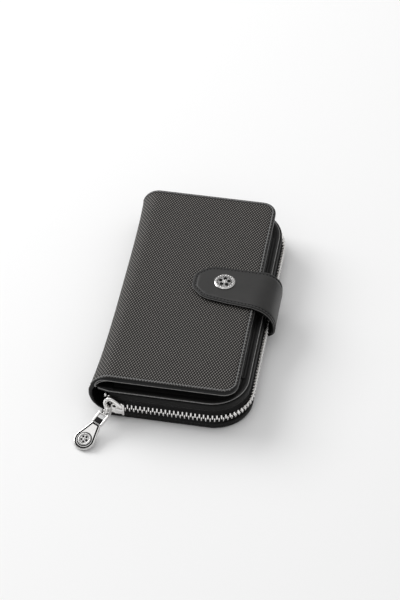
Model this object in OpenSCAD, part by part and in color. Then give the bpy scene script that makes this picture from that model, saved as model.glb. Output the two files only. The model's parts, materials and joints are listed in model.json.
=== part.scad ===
// Long wallet: a zip-around compartment with a fold-over front cover and a snap strap.
// +X is the width (spine at -X, strap at +X), +Y is the length, +Z is up from the back cover.
// The origin is on the back cover's outer face, which is the face that the wallet lies on.

/* [Body] */
// Length of the front and back covers
cover_len = 190; // [170:1:200]
// Outer face of the spine to the zip's plane, across the width
body_w = 103; // [95:1:110]
// Height of the closed wallet, without the strap
body_h = 34; // [32:1:38]
// How far the front cover's free edge stops short of the zip
cover_inset = 7; // [4:1:10]
// Outer radius of the spine's two bends
spine_r = 10; // [8:1:11]
// Corner radius of the front cover
cover_corner_r = 11; // [8:1:14]

/* [Zip] */
// Distance from one tooth to the next in a row
tooth_pitch = 2.9; // [2.5:0.1:3.6]
// Height of the zip's centre line above the back
zip_z = 10.8; // [10:0.2:12]
// Radius of the zip's path round the two free corners
zip_corner_r = 27; // [20:1:30]

/* [Strap] */
// Width of the closing strap
strap_w = 34; // [26:1:36]
// Middle of the strap along the length
strap_y = 3; // [-10:1:10]
// The snap's centre along the wallet's length
snap_y = 5; // [-10:1:10]
// Distance of the snap from the spine's outer face
snap_from_spine = 72; // [66:1:78]
// Distance of the strap's round end from the spine's outer face
strap_tip_from_spine = 50; // [46:1:54]
// Radius of the ornamental snap cap
snap_cap_r = 7.25; // [6:0.25:8]

/* [Pull] */
// Length of the teardrop pull, from its hinge to its tip
pull_len = 29; // [26:1:34]
// Width of the pull's round end
pull_w = 15; // [11:1:16]
// Direction in which the pull points, in the plan
pull_heading = -118; // [-125:1:-100]

/* [Hidden] */
$fn = 48;
fit = 0.1;

// Layers, from the back cover upwards
leather = 1.8;
lining = 0.8;
slot_step = 0.7;
mid_z = 20.8;
mid_t = 1.6;
mid_top = mid_z + mid_t;
cover_z = body_h - leather;
board_t = 0.8;
board_z = cover_z - board_t;
cover_lining_t = 1;
cover_lining_z = board_z - cover_lining_t;

// Plan
spine_x = -50;
half_len = cover_len / 2;
bend_x = spine_x + spine_r;
zip_x = spine_x + body_w;
zip_y = half_len + 3.5;
cover_x = zip_x - cover_inset;
panel_x = zip_x - 1.5;
panel_y = zip_y - 1.5;
panel_r = zip_corner_r - 1.5;
zip_start_x = spine_x + 10.5;

// The spine's leather is cut where it turns: at the two flat covers and above the compartment
turn_gap = 0.7;
wall_top = mid_top - 0.4;
fold_bottom = mid_top + 0.2;

// Zip section
tape_t = 0.6;
tape_gap = 0.8;
band_t = 1.2;
band_clear = 5.7;
tooth_w = 1.15;
tooth_h = 3.4;
tooth_d = 2.4;
tooth_bite = 0.3;

// Strap section, and the centres of its bends
strap_t = 2.4;
strap_half = strap_t / 2;
strap_mid_z = body_h + 2;
strap_bend_r = 18;
strap_x = zip_x + 7;
strap_bend_x = strap_x - strap_bend_r;
strap_bend_z = strap_mid_z - strap_bend_r;
strap_root_r = 7.5;
strap_root_z = 5;
strap_root_x = zip_x - 2.6;
strap_low_x = strap_x - strap_root_r;
strap_low_z = strap_root_z + strap_half + strap_root_r;
strap_tip_x = spine_x + strap_tip_from_spine;
snap_x = spine_x + snap_from_spine;
snap_z = strap_mid_z - strap_half;

// Slider and pull
slider_x0 = spine_x + 7;
slider_len = 14;
slider_half_h = 5;
slider_plate = 1.2;
slider_out = zip_y + 2.7;
slider_in = zip_y - 1.6;
pin_r = 0.8;
hinge_pin_x = slider_x0 + 3.7;
hinge_pin_y = -(slider_out + 2);
link_len = 5.5;
pull_t = 2;
pull_droop = asin((zip_z - pull_t / 2 - 0.05) / pull_len);

// Coin pocket
coin_x0 = bend_x;
coin_x1 = zip_x - 13;
coin_y = half_len - 7;
coin_z0 = 8;
coin_z1 = 15;
coin_wall = 0.8;
coin_pitch = 2;
coin_zip_z = (coin_z0 + coin_z1) / 2;
coin_slider_y = 74;

module leather_black() { color([0.09, 0.09, 0.09]) children(); }
module leather_woven() { color([0.17, 0.165, 0.16]) children(); }
module lining_black() { color([0.05, 0.05, 0.055]) children(); }
module tape_black() { color([0.06, 0.06, 0.06]) children(); }
module bright_metal() { color([0.78, 0.78, 0.77]) children(); }

// Rectangle with its two +X corners rounded
module free_corner_rect(x0, x1, half_y, r) {
    translate([x0, -half_y]) square([x1 - r - x0, 2 * half_y]);
    translate([x1 - r - fit, -half_y + r]) square([r + fit, 2 * (half_y - r)]);
    for (side = [-1, 1]) translate([x1 - r, side * (half_y - r)]) circle(r);
}

// Flat sheet of that outline
module sheet(x0, x1, half_y, r, z, t) {
    translate([0, 0, z]) linear_extrude(t) free_corner_rect(x0, x1, half_y, r);
}

// Upright band that follows the zip's path, from offset a to offset b outside it
module zip_band(a, b, x0, z, t) {
    translate([0, 0, z]) linear_extrude(t) difference() {
        free_corner_rect(x0, zip_x + b, zip_y + b, zip_corner_r + b);
        free_corner_rect(x0 - 1, zip_x + a, zip_y + a, zip_corner_r + a);
    }
}

// The zip's path from its front end, round both free corners: [x, y, heading] at distance s
side_len = zip_x - zip_corner_r - zip_start_x;
corner_len = zip_corner_r * 90 * PI / 180;
long_len = 2 * (zip_y - zip_corner_r);
path_len = 2 * side_len + 2 * corner_len + long_len;
function turn(s) = s / zip_corner_r * 180 / PI;
function on_corner(cy, from, s) = [
    zip_x - zip_corner_r + zip_corner_r * cos(from + turn(s)),
    cy + zip_corner_r * sin(from + turn(s)),
    from + 90 + turn(s)];
function zip_path(s) =
    s < side_len ? [zip_start_x + s, -zip_y, 0] :
    s < side_len + corner_len ? on_corner(-zip_y + zip_corner_r, -90, s - side_len) :
    s < side_len + corner_len + long_len ? [zip_x, -long_len / 2 + s - side_len - corner_len, 90] :
    s < path_len - side_len ? on_corner(zip_y - zip_corner_r, 0, s - side_len - corner_len - long_len) :
    [zip_x - zip_corner_r - (s - path_len + side_len), zip_y, 180];

// One row of teeth; up is 1 for the upper row and -1 for the lower, phase is in pitches
module tooth_row(up, phase) {
    count = floor(path_len / tooth_pitch) - 1;
    for (i = [0 : count]) {
        at = zip_path((i + 0.25 + phase) * tooth_pitch);
        translate([at[0], at[1], zip_z + up * (tooth_h / 2 - tooth_bite)]) rotate([0, 0, at[2]])
            cube([tooth_w, tooth_d, tooth_h], center = true);
    }
}

module back_cover() leather_woven() sheet(bend_x, panel_x, panel_y, panel_r, 0, leather);

module back_lining() lining_black()
    sheet(bend_x, panel_x - 1, panel_y - 1, panel_r - 1, leather, lining);

module lower_gusset_band() leather_black() difference() {
    zip_band(-1.5, -1.5 + band_t, bend_x, 0.4, zip_z - band_clear - 0.4);
    translate([strap_root_x, strap_y - strap_w / 2 - fit, strap_root_z - fit])
        cube([zip_x, strap_w + 2 * fit, strap_t + 2 * fit]);
}

module zip_tape_lower() tape_black() difference() {
    zip_band(-tape_t / 2, tape_t / 2, zip_start_x - 1.7, 1, zip_z - tape_gap / 2 - 1);
    translate([strap_root_x, strap_y - strap_w / 2 - fit, strap_root_z - fit])
        cube([zip_x, strap_w + 2 * fit, strap_t + 2 * fit]);
}

module zip_teeth_lower() bright_metal() tooth_row(-1, 0.5);

module zip_end_stops() bright_metal() for (side = [-1, 1])
    translate([zip_start_x - 1.2, side * zip_y, zip_z - 2.7]) cube([1, tooth_d, 1.8], center = true);

module strap_root() leather_black() {
    translate([strap_root_x, strap_y - strap_w / 2, strap_root_z])
        cube([strap_low_x - strap_root_x, strap_w, strap_t]);
    along_y(strap_y - strap_w / 2, strap_y + strap_w / 2)
        strap_arc_2d(strap_low_x, strap_low_z, strap_root_r, -strap_half, strap_half, -90);
}

// Pleated wall that closes one end of the compartment
module end_gusset(side) lining_black() {
    pleats = 4;
    bottom = leather + lining;
    rise = (mid_z - lining - bottom) / pleats;
    for (i = [0 : pleats - 1])
        translate([bend_x, side * (coin_y + 1.6 + (i % 2) * 2) - 0.4, bottom + i * rise])
            cube([coin_x1 - bend_x, 0.8, rise]);
    for (i = [1 : pleats - 1])
        translate([bend_x, side * (coin_y + 2.6) - 1.4, bottom + i * rise - 0.2])
            cube([coin_x1 - bend_x, 2.8, 0.4]);
}
module end_gusset_front() end_gusset(-1);
module end_gusset_rear() end_gusset(1);

// Bent shell of the spine's leather: a quarter ring about (bend_x, z) in the X-Z plane
module quarter_bend(z, upper) {
    intersection() {
        translate([bend_x, half_len, z]) rotate([90, 0, 0]) difference() {
            cylinder(r = spine_r, h = cover_len);
            translate([0, 0, -1]) cylinder(r = spine_r - leather, h = cover_len + 2);
        }
        translate([spine_x - 1, -half_len - 1, upper ? z : z - spine_r - 1])
            cube([spine_r + 1 - turn_gap, cover_len + 2, spine_r + 1]);
    }
}

module spine_wall() leather_woven() {
    quarter_bend(spine_r, false);
    translate([spine_x, -half_len, spine_r]) cube([leather, cover_len, wall_top - spine_r]);
}

module spine_fold() leather_woven() {
    quarter_bend(body_h - spine_r, true);
    translate([spine_x, -half_len, fold_bottom]) cube([leather, cover_len, body_h - spine_r - fold_bottom]);
}

module mid_panel() leather_black() sheet(spine_x + leather, panel_x, panel_y, panel_r, mid_z, mid_t);

module mid_lining() lining_black()
    sheet(bend_x, panel_x - 1.5, panel_y - 1.5, panel_r - 1.5, mid_z - lining, lining);

module upper_gusset_band() leather_black()
    zip_band(-1.5, -1.5 + band_t, bend_x, zip_z + band_clear, mid_top - zip_z - band_clear);

module zip_tape_upper() tape_black()
    zip_band(-tape_t / 2, tape_t / 2, zip_start_x - 1.7, zip_z + tape_gap / 2, 8);

module zip_teeth_upper() bright_metal() tooth_row(1, 0);

// Narrow raised border round the middle panel's edge
module panel_border() leather_black() translate([0, 0, mid_top]) linear_extrude(0.5) difference() {
    free_corner_rect(bend_x, panel_x, panel_y, panel_r);
    free_corner_rect(bend_x - 1, panel_x - 2.6, panel_y - 2.6, panel_r - 2.6);
}

// Long pocket under the card slots, stopping short of the far end
module mid_slip_pocket() leather_black()
    translate([bend_x + 2, -70, mid_top]) cube([panel_x - 5 - bend_x, 140, slot_step]);

// A row of two card slots; each later row stands lower down the page and on the one before
module card_row(x0, x1, z, t) for (side = [-1, 1])
    translate([x0, side > 0 ? 2 : -68, z]) cube([x1 - x0, 66, t]);

module mid_card_slot(i) leather_black()
    card_row(bend_x + 4, cover_x - 4 - 12 * i, mid_top + slot_step * i, slot_step);
module mid_card_slot_1() mid_card_slot(1);
module mid_card_slot_2() mid_card_slot(2);
module mid_card_slot_3() mid_card_slot(3);

// The inner leather of the cover's fold, a C from the middle panel to the cover's lining, in two halves
hinge_z = (mid_top + cover_lining_z + cover_lining_t) / 2;
hinge_r = cover_lining_z + cover_lining_t - hinge_z;
module fold_lining(upper) leather_black() intersection() {
    translate([bend_x, half_len - 1, hinge_z]) rotate([90, 0, 0]) difference() {
        cylinder(r = hinge_r, h = cover_len - 2);
        translate([0, 0, -1]) cylinder(r = hinge_r - 0.9, h = cover_len);
    }
    translate([bend_x - hinge_r - 1, -half_len, upper ? hinge_z + 0.1 : hinge_z - hinge_r])
        cube([hinge_r + 1 - fit, cover_len, hinge_r - 0.1]);
}
module fold_lining_lower() fold_lining(false);
module fold_lining_upper() fold_lining(true);

module snap_hole(r) translate([snap_x, snap_y, cover_lining_z - 1]) cylinder(r = r, h = 20);

module front_cover() leather_woven() difference() {
    sheet(bend_x, cover_x, half_len, cover_corner_r, cover_z, leather);
    snap_hole(2);
}

module cover_board() color([0.2, 0.18, 0.16]) difference() {
    sheet(bend_x + 1, cover_x - 3, half_len - 3, cover_corner_r - 3, board_z, board_t);
    snap_hole(4);
}

module cover_lining() leather_black()
    sheet(bend_x, cover_x, half_len, cover_corner_r, cover_lining_z, cover_lining_t);

module cover_card_slot(i) leather_black() for (side = [-1, 1])
    translate([bend_x + 4, side > 0 ? 2 : -90, cover_lining_z - slot_step * i])
        cube([cover_x - 8 - 12 * (i - 1) - bend_x - 4, 88, slot_step]);
module cover_card_slot_1() cover_card_slot(1);
module cover_card_slot_2() cover_card_slot(2);
module cover_card_slot_3() cover_card_slot(3);
module cover_card_slot_4() cover_card_slot(4);

module snap_stud() bright_metal() translate([snap_x, snap_y, 0]) {
    translate([0, 0, cover_z - 0.1]) cylinder(r = 2 - fit / 2, h = leather + 0.1);
    translate([0, 0, body_h]) cylinder(r = 4.6, h = 0.3);
    translate([0, 0, body_h + 0.3]) cylinder(r = 2.6, h = 0.7);
    translate([0, 0, body_h + 0.9]) cylinder(r = 3, h = 0.7);
}

module snap_washer() bright_metal() translate([snap_x, snap_y, board_z]) difference() {
    cylinder(r = 3.9, h = board_t - 0.1);
    translate([0, 0, -1]) cylinder(r = 1.2, h = 3);
}

// Eighth of a ring about (x, z) in the X-Z plane, between offsets a and b of radius r, starting at an angle
module strap_arc_2d(x, z, r, a, b, from) intersection() {
    translate([x, z]) difference() {
        circle(r + b);
        circle(r + a);
    }
    translate([x, z]) rotate(from) polygon([[0, 0], [40, 0], [40, 40 * tan(45)]]);
}
// The strap's section beside the body, between offsets a and b outside its middle line
module strap_side_2d(a, b) {
    strap_arc_2d(strap_low_x, strap_low_z, strap_root_r, a, b, -45);
    translate([strap_x + a, strap_low_z]) square([b - a, strap_bend_z - strap_low_z]);
    strap_arc_2d(strap_bend_x, strap_bend_z, strap_bend_r, a, b, 0);
}
module along_y(y0, y1) translate([0, y1, 0]) rotate([90, 0, 0]) linear_extrude(y1 - y0) children();

module strap_side(a, b, inset) leather_black()
    along_y(strap_y - strap_w / 2 + inset, strap_y + strap_w / 2 - inset) strap_side_2d(a, b);
module strap_side_outer() strap_side(0, strap_half, 0);
module strap_side_lining() strap_side(-strap_half, 0, 0.6);

module strap_tab(a, b, inset, hole) leather_black() difference() {
    union() {
        along_y(strap_y - strap_w / 2 + inset, strap_y + strap_w / 2 - inset) intersection() {
            strap_arc_2d(strap_bend_x, strap_bend_z, strap_bend_r, a, b, 45);
            translate([strap_bend_x, 0]) square(60);
        }
        translate([0, 0, strap_mid_z + a]) linear_extrude(b - a) {
            translate([strap_tip_x + strap_w / 2, strap_y - strap_w / 2 + inset])
                square([strap_bend_x - strap_tip_x - strap_w / 2, strap_w - 2 * inset]);
            translate([strap_tip_x + strap_w / 2, strap_y]) circle(strap_w / 2 - inset);
        }
    }
    snap_hole(hole);
}
module strap_tab_outer() strap_tab(0, strap_half, 0, 2.3);
module strap_tab_lining() strap_tab(-strap_half, 0, 0.6, 5.6);

module snap_cap() bright_metal() translate([snap_x, snap_y, strap_mid_z]) {
    translate([0, 0, 0.7]) cylinder(r = 2.2, h = 0.6);
    translate([0, 0, strap_half]) cylinder(r = snap_cap_r, h = 0.9);
    translate([0, 0, strap_half + 0.9]) cylinder(r1 = snap_cap_r, r2 = snap_cap_r - 1.2, h = 0.5, $fn = 64);
}

module snap_socket() bright_metal() translate([snap_x, snap_y, 0]) difference() {
    union() {
        translate([0, 0, body_h + 0.4]) cylinder(r = 5.5, h = strap_mid_z - body_h - 0.4);
        translate([0, 0, strap_mid_z]) cylinder(r = 2.2, h = 0.7);
    }
    translate([0, 0, body_h]) cylinder(r = 3.15, h = 1.75);
}

// The slider straddles the zip: two plates joined by a wedge at its nose, with inturned flanges
module zip_slider() bright_metal() {
    z0 = zip_z - slider_half_h;
    flange = 0.9;
    for (y = [-slider_out, -slider_in]) translate([slider_x0, y, z0])
        cube([slider_len, slider_plate, 2 * slider_half_h]);
    for (z = [z0, zip_z + slider_half_h - 1]) {
        translate([slider_x0, -slider_out, z]) cube([slider_len, slider_plate + flange, 1]);
        translate([slider_x0, -slider_in - 0.6, z]) cube([slider_len, slider_plate, 1]);
    }
    translate([slider_x0, -slider_out + 1, zip_z - 1.5]) cube([1.5, slider_out - slider_in, 3]);
    difference() {
        union() for (z = [zip_z - 3.6, zip_z + 2.4]) {
            translate([hinge_pin_x, hinge_pin_y, z]) cylinder(r = 1.7, h = 1.2);
            translate([hinge_pin_x - 1.7, hinge_pin_y, z]) cube([3.4, -slider_out - hinge_pin_y + 0.1, 1.2]);
        }
        translate([hinge_pin_x, hinge_pin_y, zip_z - 5]) cylinder(r = pin_r, h = 10);
    }
}

module slider_pin() bright_metal()
    translate([hinge_pin_x, hinge_pin_y, zip_z - 3.6]) cylinder(r = pin_r, h = 7.2);

// Local frame of the link: +X along the pull's heading, the slider's pin at the origin
module link_frame() translate([hinge_pin_x, hinge_pin_y, zip_z]) rotate([0, 0, pull_heading]) children();
module pull_frame() link_frame() translate([link_len, 0, 0]) rotate([0, pull_droop, 0]) children();

module pull_link() bright_metal() link_frame() difference() {
    union() {
        translate([0, 0, -2.3]) cylinder(r = 1.7, h = 4.6);
        translate([0, -1, -1.2]) cube([link_len - 2.2, 2, 2.4]);
        translate([1.7, -3.4, -1.2]) cube([1.6, 6.8, 2.4]);
        for (y = [-3.4, 2.2]) {
            translate([1.7, y, -1.2]) cube([link_len - 1.7, 1.2, 2.4]);
            translate([link_len, y + 1.2, 0]) rotate([90, 0, 0]) cylinder(r = 1.2, h = 1.2);
        }
    }
    translate([0, 0, -5]) cylinder(r = pin_r + fit / 2, h = 10);
    translate([link_len, 5, 0]) rotate([90, 0, 0]) cylinder(r = pin_r, h = 10);
}

module link_pin() bright_metal() link_frame() translate([link_len, 3.4, 0]) rotate([90, 0, 0])
    cylinder(r = pin_r, h = 6.8);

// Teardrop plate with an eye at its neck, a window below the eye and a shallow dish for the medallion
pull_end_x = pull_len - pull_w / 2;
module pull_outline() {
    translate([pull_end_x, 0]) circle(pull_w / 2);
    polygon([
        [0.9, -2.1], [7, -2.6], [pull_end_x - 1.6, -pull_w / 2 + 0.2],
        [pull_end_x - 1.6, pull_w / 2 - 0.2], [7, 2.6], [0.9, 2.1]]);
}
module zip_pull() bright_metal() pull_frame() difference() {
    union() {
        translate([0, 0, -pull_t / 2]) linear_extrude(pull_t) pull_outline();
        translate([0, 2.1, 0]) rotate([90, 0, 0]) cylinder(r = 1.6, h = 4.2);
    }
    translate([0, 5, 0]) rotate([90, 0, 0]) cylinder(r = pin_r + fit / 2, h = 10);
    translate([3, -1.3, -3]) cube([3.2, 2.6, 6]);
    translate([pull_end_x, 0, pull_t / 2 - 0.5]) cylinder(r = 4.6, h = 2);
}

module pull_medallion() bright_metal() pull_frame() translate([pull_end_x, 0, pull_t / 2 - 0.5]) {
    cylinder(r = 4.5, h = 0.5);
    for (i = [0 : 3]) rotate([0, 0, 45 + 90 * i]) translate([2, 0, 0.5]) cylinder(r = 1.2, h = 0.4);
}

// The coin pocket: a flat pouch open along its +X side, where its own zip closes it
module coin_pocket_shell() lining_black() difference() {
    translate([coin_x0, -coin_y, coin_z0]) cube([coin_x1 - coin_x0, 2 * coin_y, coin_z1 - coin_z0]);
    translate([coin_x0 + coin_wall, -coin_y + coin_wall, coin_z0 + coin_wall])
        cube([coin_x1 - coin_x0, 2 * (coin_y - coin_wall), coin_z1 - coin_z0 - 2 * coin_wall]);
}

module coin_zip_tapes() tape_black() for (side = [-1, 1])
    translate([coin_x1 - 0.7, -coin_y + coin_wall + fit, side > 0 ? coin_zip_z + 0.4 : coin_z0 + coin_wall])
        cube([0.6, 2 * (coin_y - coin_wall - fit), coin_z1 - coin_wall - coin_zip_z - 0.4]);

module coin_zip_teeth() bright_metal() for (i = [0 : floor(2 * coin_slider_y / coin_pitch)], up = [-1, 1])
    translate([coin_x1 - 0.4, -coin_slider_y + coin_pitch * (i + (up > 0 ? 0 : 0.5)), coin_zip_z + up * 0.925])
        cube([1.6, 0.8, 1.35], center = true);

module coin_zip_slider() bright_metal() translate([coin_x1 - 0.4, -coin_slider_y, coin_zip_z]) {
    for (x = [-2, 1.1]) translate([x, -4, -2.4]) cube([0.9, 8, 4.8]);
    translate([-1.5, -4, -0.2]) cube([3, 1.2, 0.4]);
    difference() {
        translate([1.9, -2.8, -1]) cube([2.4, 3.2, 2]);
        translate([3.1, -1.2, -2]) cylinder(r = 0.5, h = 4);
    }
}

module coin_zip_pull() bright_metal() translate([coin_x1 + 2.7, -coin_slider_y - 1.2, coin_zip_z]) {
    cylinder(r = 0.45, h = 3.4, center = true);
    for (z = [-1.9, 1.2]) translate([-0.6, -0.6, z]) cube([1.2, 4, 0.7]);
    translate([-0.5, 3.4, -1.9]) cube([1, 10, 3.8]);
}

back_cover();
back_lining();
lower_gusset_band();
zip_tape_lower();
zip_teeth_lower();
zip_end_stops();
strap_root();
end_gusset_front();
end_gusset_rear();
spine_wall();
mid_panel();
mid_lining();
upper_gusset_band();
zip_tape_upper();
zip_teeth_upper();
mid_slip_pocket();
panel_border();
mid_card_slot_1();
mid_card_slot_2();
mid_card_slot_3();
fold_lining_lower();
fold_lining_upper();
spine_fold();
front_cover();
cover_board();
cover_lining();
cover_card_slot_1();
cover_card_slot_2();
cover_card_slot_3();
cover_card_slot_4();
snap_stud();
snap_washer();
strap_side_outer();
strap_side_lining();
strap_tab_outer();
strap_tab_lining();
snap_cap();
snap_socket();
zip_slider();
slider_pin();
pull_link();
link_pin();
zip_pull();
pull_medallion();
coin_pocket_shell();
coin_zip_tapes();
coin_zip_teeth();
coin_zip_slider();
coin_zip_pull();
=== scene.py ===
"""Looks of the long wallet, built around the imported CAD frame."""
import bisect
import json
import math

import bmesh
import bpy
from mathutils import Matrix, Vector
from mathutils.geometry import delaunay_2d_cdt


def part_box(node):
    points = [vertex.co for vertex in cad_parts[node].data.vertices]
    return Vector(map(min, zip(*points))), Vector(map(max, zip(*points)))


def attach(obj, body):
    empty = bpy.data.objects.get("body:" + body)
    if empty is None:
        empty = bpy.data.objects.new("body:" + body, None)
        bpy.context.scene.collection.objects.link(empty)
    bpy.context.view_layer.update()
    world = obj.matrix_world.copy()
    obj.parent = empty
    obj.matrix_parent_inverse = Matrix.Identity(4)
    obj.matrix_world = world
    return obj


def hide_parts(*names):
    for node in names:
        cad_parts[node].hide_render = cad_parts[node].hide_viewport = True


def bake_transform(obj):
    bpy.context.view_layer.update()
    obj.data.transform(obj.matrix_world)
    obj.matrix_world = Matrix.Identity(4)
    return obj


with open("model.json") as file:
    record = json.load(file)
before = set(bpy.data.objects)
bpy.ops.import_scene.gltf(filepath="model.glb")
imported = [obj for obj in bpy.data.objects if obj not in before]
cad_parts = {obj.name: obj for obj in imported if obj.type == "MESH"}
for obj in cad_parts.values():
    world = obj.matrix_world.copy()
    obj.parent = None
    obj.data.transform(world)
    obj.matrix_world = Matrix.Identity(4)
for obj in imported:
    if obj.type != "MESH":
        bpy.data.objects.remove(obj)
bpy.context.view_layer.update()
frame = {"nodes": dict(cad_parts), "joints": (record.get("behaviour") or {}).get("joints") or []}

MM = 0.001
LEATHER = 1.8
SHARP = math.radians(42)


def box_mm(node):
    """Lowest and highest corner of a CAD node, in millimetres."""
    low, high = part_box(node)
    return low / MM, high / MM


# ---- sizes taken from the frame
cover_low, cover_high = box_mm("front_cover")
lining_low, lining_high = box_mm("cover_lining")
panel_low, panel_high = box_mm("mid_panel")
_, back_high = box_mm("back_cover")
wall_low, _ = box_mm("spine_wall")
_, teeth_high = box_mm("zip_teeth_upper")
tab_low, tab_high = box_mm("strap_tab_outer")
_, side_high = box_mm("strap_side_outer")
slider_low, slider_high = box_mm("zip_slider")
cap_low, cap_high = box_mm("snap_cap")


def joint_point(name):
    return Vector(next(j["pos_m"] for j in frame["joints"] if j["name"] == name)) / MM


BEND_X = cover_low.x            # where the covers end and the spine's bends begin
SPINE_R = BEND_X - wall_low.x
HALF_LEN = cover_high.y
SKIN_R = SPINE_R - LEATHER / 2  # radius of the middle of the bent leather
COVER_Z = cover_high.z - LEATHER / 2
TOOTH_DEPTH, PITCH = 2.4, 2.9   # how far a tooth stands out, and from one tooth to the next
ZIP_X = teeth_high.x - TOOTH_DEPTH / 2
ZIP_Y = teeth_high.y - TOOTH_DEPTH / 2
ZIP_R, ZIP_Z = 27.0, 10.8       # radius of the zip's corners and height of its middle
PANEL_R = ZIP_R - 1.5
ZIP_START = BEND_X + 0.5
SWELL_FRONT, SWELL_REAR = 5.0, 3.5  # how far the spine bows out at its ends


# ---- mesh building
def in_scene(name, data):
    obj = bpy.data.objects.new(name, data)
    bpy.context.scene.collection.objects.link(obj)
    return obj


def make_object(name, verts, faces, materials, uvs=None, indices=None):
    """A mesh object from points in millimetres, smooth but for edges sharper than SHARP."""
    mesh = bpy.data.meshes.new(name)
    mesh.from_pydata([Vector(v) * MM for v in verts], [], faces)
    for m in materials:
        mesh.materials.append(m)
    if indices:
        mesh.polygons.foreach_set("material_index", indices)
    if uvs:
        layer = mesh.uv_layers.new(name="mm")
        for loop in mesh.loops:
            layer.data[loop.index].uv = uvs[loop.vertex_index]
    bm = bmesh.new()
    bm.from_mesh(mesh)
    bmesh.ops.recalc_face_normals(bm, faces=bm.faces)
    bm.to_mesh(mesh)
    bm.free()
    mesh.polygons.foreach_set("use_smooth", [True] * len(mesh.polygons))
    mesh.set_sharp_from_angle(angle=SHARP)
    return in_scene(name, mesh)


def fillet(before, at, after, radius, steps):
    """Points that round the corner at `at`, or the corner itself when it has no radius."""
    if radius <= 0:
        return [at]
    a, b = (before - at).normalized(), (after - at).normalized()
    half = a.angle(b) / 2
    centre = at + (a + b).normalized() * radius / math.sin(half)
    arm = at + a * radius / math.tan(half) - centre
    turn = math.pi - 2 * half
    return [centre + Matrix.Rotation(turn * k / steps, 2) @ arm for k in range(steps + 1)]


def offset_corners(corners, inset, cut):
    """Corners of a convex outline moved in by inset. With cut, the edge from last to first corner stays."""
    count = len(corners)
    shifted = []
    for i in range(count):
        here, before, after = (Vector(corners[k % count][:2]) for k in (i, i - 1, i + 1))
        d1, d2 = (here - before).normalized(), (after - here).normalized()
        n1, n2 = Vector((-d1.y, d1.x)), Vector((-d2.y, d2.x))
        o1 = 0 if cut and i == 0 else inset
        o2 = 0 if cut and i == count - 1 else inset
        det = d1.x * d2.y - d1.y * d2.x
        apart = n2 * o2 - n1 * o1
        along = (apart.x * d2.y - apart.y * d2.x) / det
        shifted.append(here + n1 * o1 + d1 * along)
    return shifted


def ring(corners, inset, step, cut=False, arc_steps=10):
    """Outline moved in by inset, as points whose number doesn't depend on the inset."""
    count = len(corners)
    at = offset_corners(corners, inset, cut)
    arcs = []
    for i, c in enumerate(corners):
        radius = max(c[2] - inset, 0.25) if c[2] > 0 else 0
        arcs.append(fillet(at[i - 1], at[i], at[(i + 1) % count], radius, arc_steps))
    points = []
    for i in range(count):
        points += arcs[i]
        if cut and i == count - 1:
            break
        length = (Vector(corners[(i + 1) % count][:2]) - Vector(corners[i][:2])).length
        parts = max(1, round(length / step))
        a, b = arcs[i][-1], arcs[(i + 1) % count][0]
        points += [a.lerp(b, k / parts) for k in range(1, parts)]
    return points


def fill_points(boundary, step):
    """Triangles that fill a boundary, with a grid of points inside. The boundary's points come first."""
    xs, ys = [p.x for p in boundary], [p.y for p in boundary]
    count = len(boundary)
    points = [Vector(p) for p in boundary]
    nx, ny = int((max(xs) - min(xs)) / step), int((max(ys) - min(ys)) / step)
    for i in range(1, nx):
        for j in range(1, ny):
            p = Vector((min(xs) + (max(xs) - min(xs)) * i / nx, min(ys) + (max(ys) - min(ys)) * j / ny))
            clear = all(
                (b - a).cross(p - a) > 0.45 * step * (b - a).length
                for a, b in zip(boundary, boundary[1:] + boundary[:1]) if (b - a).length > 1e-6)
            if clear:
                points.append(p)
    out, _, faces, origins, _, _ = delaunay_2d_cdt(points, [], [list(range(count))], 1, 1e-6)
    index = [o[0] if o else None for o in origins]
    return points, [[index[i] for i in f] for f in faces if all(index[i] is not None for i in f)]


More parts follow.
